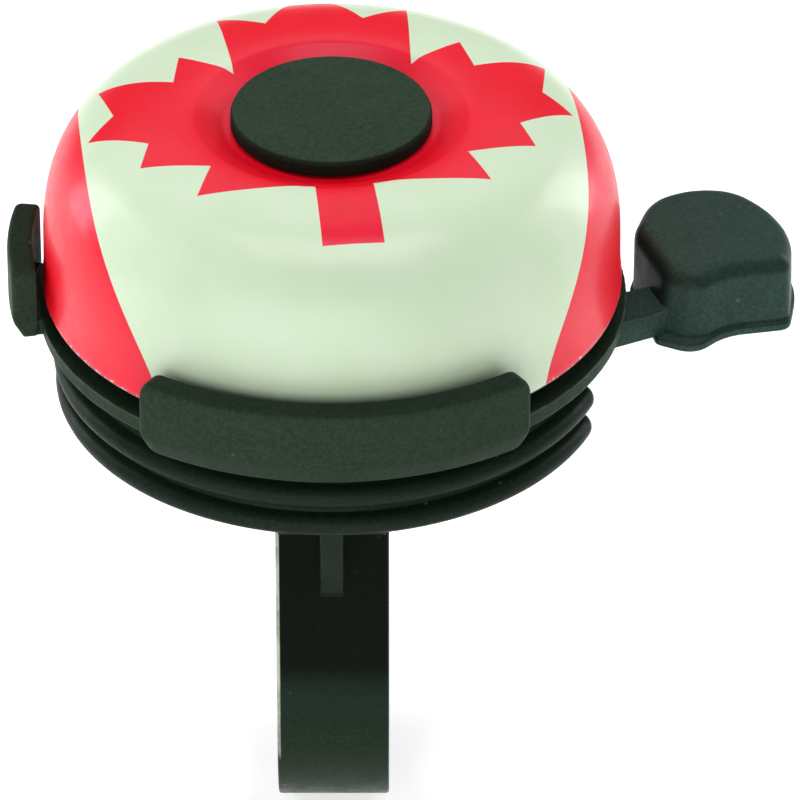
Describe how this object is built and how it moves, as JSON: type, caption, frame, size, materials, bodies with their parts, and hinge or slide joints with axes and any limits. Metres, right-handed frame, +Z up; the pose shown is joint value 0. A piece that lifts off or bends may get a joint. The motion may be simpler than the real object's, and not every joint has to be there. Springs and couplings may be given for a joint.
{
  "type": "bicycle bell",
  "caption": "Dome bicycle bell with a sprung thumb lever, a geared striker rotor, rim bumpers and a hinged strap clamp for a handlebar.",
  "frame": {"origin": "flat middle of the handlebar seat, on the bell's axis", "axes": "+Z up the bell's axis towards the cap, +X towards the thumb lever and along the handlebar, -Y towards the strap's hinge"},
  "size_m": [0.0826, 0.0676, 0.0836],
  "materials": {
    "dome_paint": "gloss print on steel",
    "black_plastic": "fine moulded grain",
    "steel": "zinc plated",
    "dark_steel": "pressed, dark",
    "spring_steel": "drawn wire",
    "nylon": "natural nylon"
  },
  "bodies": {
    "base": {"base_housing": "black_plastic", "guard_ring": "black_plastic", "guard_screw_a": "steel", "guard_screw_b": "steel", "guard_screw_c": "steel", "strap_hinge_pin": "steel", "clamp_nut": "steel", "centre_post": "steel", "spacer_tube": "steel", "dome": "dome_paint", "dome_washer": "steel", "dome_nut": "steel", "dome_cap": "black_plastic", "return_spring": "spring_steel", "idler_pin": "steel", "idler_clip": "steel"},
    "lever": {"thumb_lever": "black_plastic"},
    "idler": {"idler_gear": "nylon"},
    "rotor": {"rotor_pinion": "nylon", "rotor_carrier": "dark_steel", "striker_pin_a": "dark_steel", "striker_pin_b": "dark_steel"},
    "striker_a_body": {"striker_a": "steel"},
    "striker_b_body": {"striker_b": "steel"},
    "strap": {"clamp_strap": "black_plastic"},
    "screw_washer": {"clamp_washer": "steel"},
    "screw": {"clamp_screw": "steel"}
  },
  "joints": [
    {"name": "rotor_spin", "type": "hinge", "parent": "base", "child": "rotor", "pos_m": [0, 0, 0.0272], "axis": [0, 0, 1], "range_deg": [-316, 0]},
    {"name": "lever_turn", "type": "hinge", "parent": "base", "child": "lever", "pos_m": [0, 0, 0.0221], "axis": [0, 0, 1], "range_deg": [0, 32], "stiffness_Nm_per_rad": 0.08, "springref_deg": -34.38},
    {"name": "idler_spin", "type": "hinge", "parent": "base", "child": "idler", "pos_m": [-0.01275, 0.00342, 0.0238], "axis": [0, 0, 1], "range_deg": [0, 138]},
    {"name": "striker_a_slide", "type": "slide", "parent": "rotor", "child": "striker_a_body", "axis": [0.2588, 0.9659, 0], "range_m": [-0.0011, 0.0011]},
    {"name": "striker_b_slide", "type": "slide", "parent": "rotor", "child": "striker_b_body", "axis": [-0.2588, -0.9659, 0], "range_m": [-0.0011, 0.0011]},
    {"name": "washer_slide", "type": "slide", "parent": "base", "child": "screw_washer", "axis": [0, 0, -1], "range_m": [0, 0.0021]},
    {"name": "screw_turn", "type": "hinge", "parent": "screw_washer", "child": "screw", "pos_m": [0, 0.0228, 0], "axis": [0, 0, -1], "range_deg": [0, 1081]},
    {"name": "strap_swing", "type": "hinge", "parent": "base", "child": "strap", "pos_m": [0, -0.0172, 0.011], "axis": [-1, 0, 0], "range_deg": [0, 2.8]}
  ],
  "couplings": [
    {"joint": "lever_turn", "follows": "rotor_spin", "ratio": -0.10111},
    {"joint": "idler_spin", "follows": "rotor_spin", "ratio": -0.43478},
    {"joint": "screw_turn", "follows": "washer_slide", "rad_per_m": 8975},
    {"joint": "strap_swing", "follows": "washer_slide", "rad_per_m": 22.4}
  ]
}
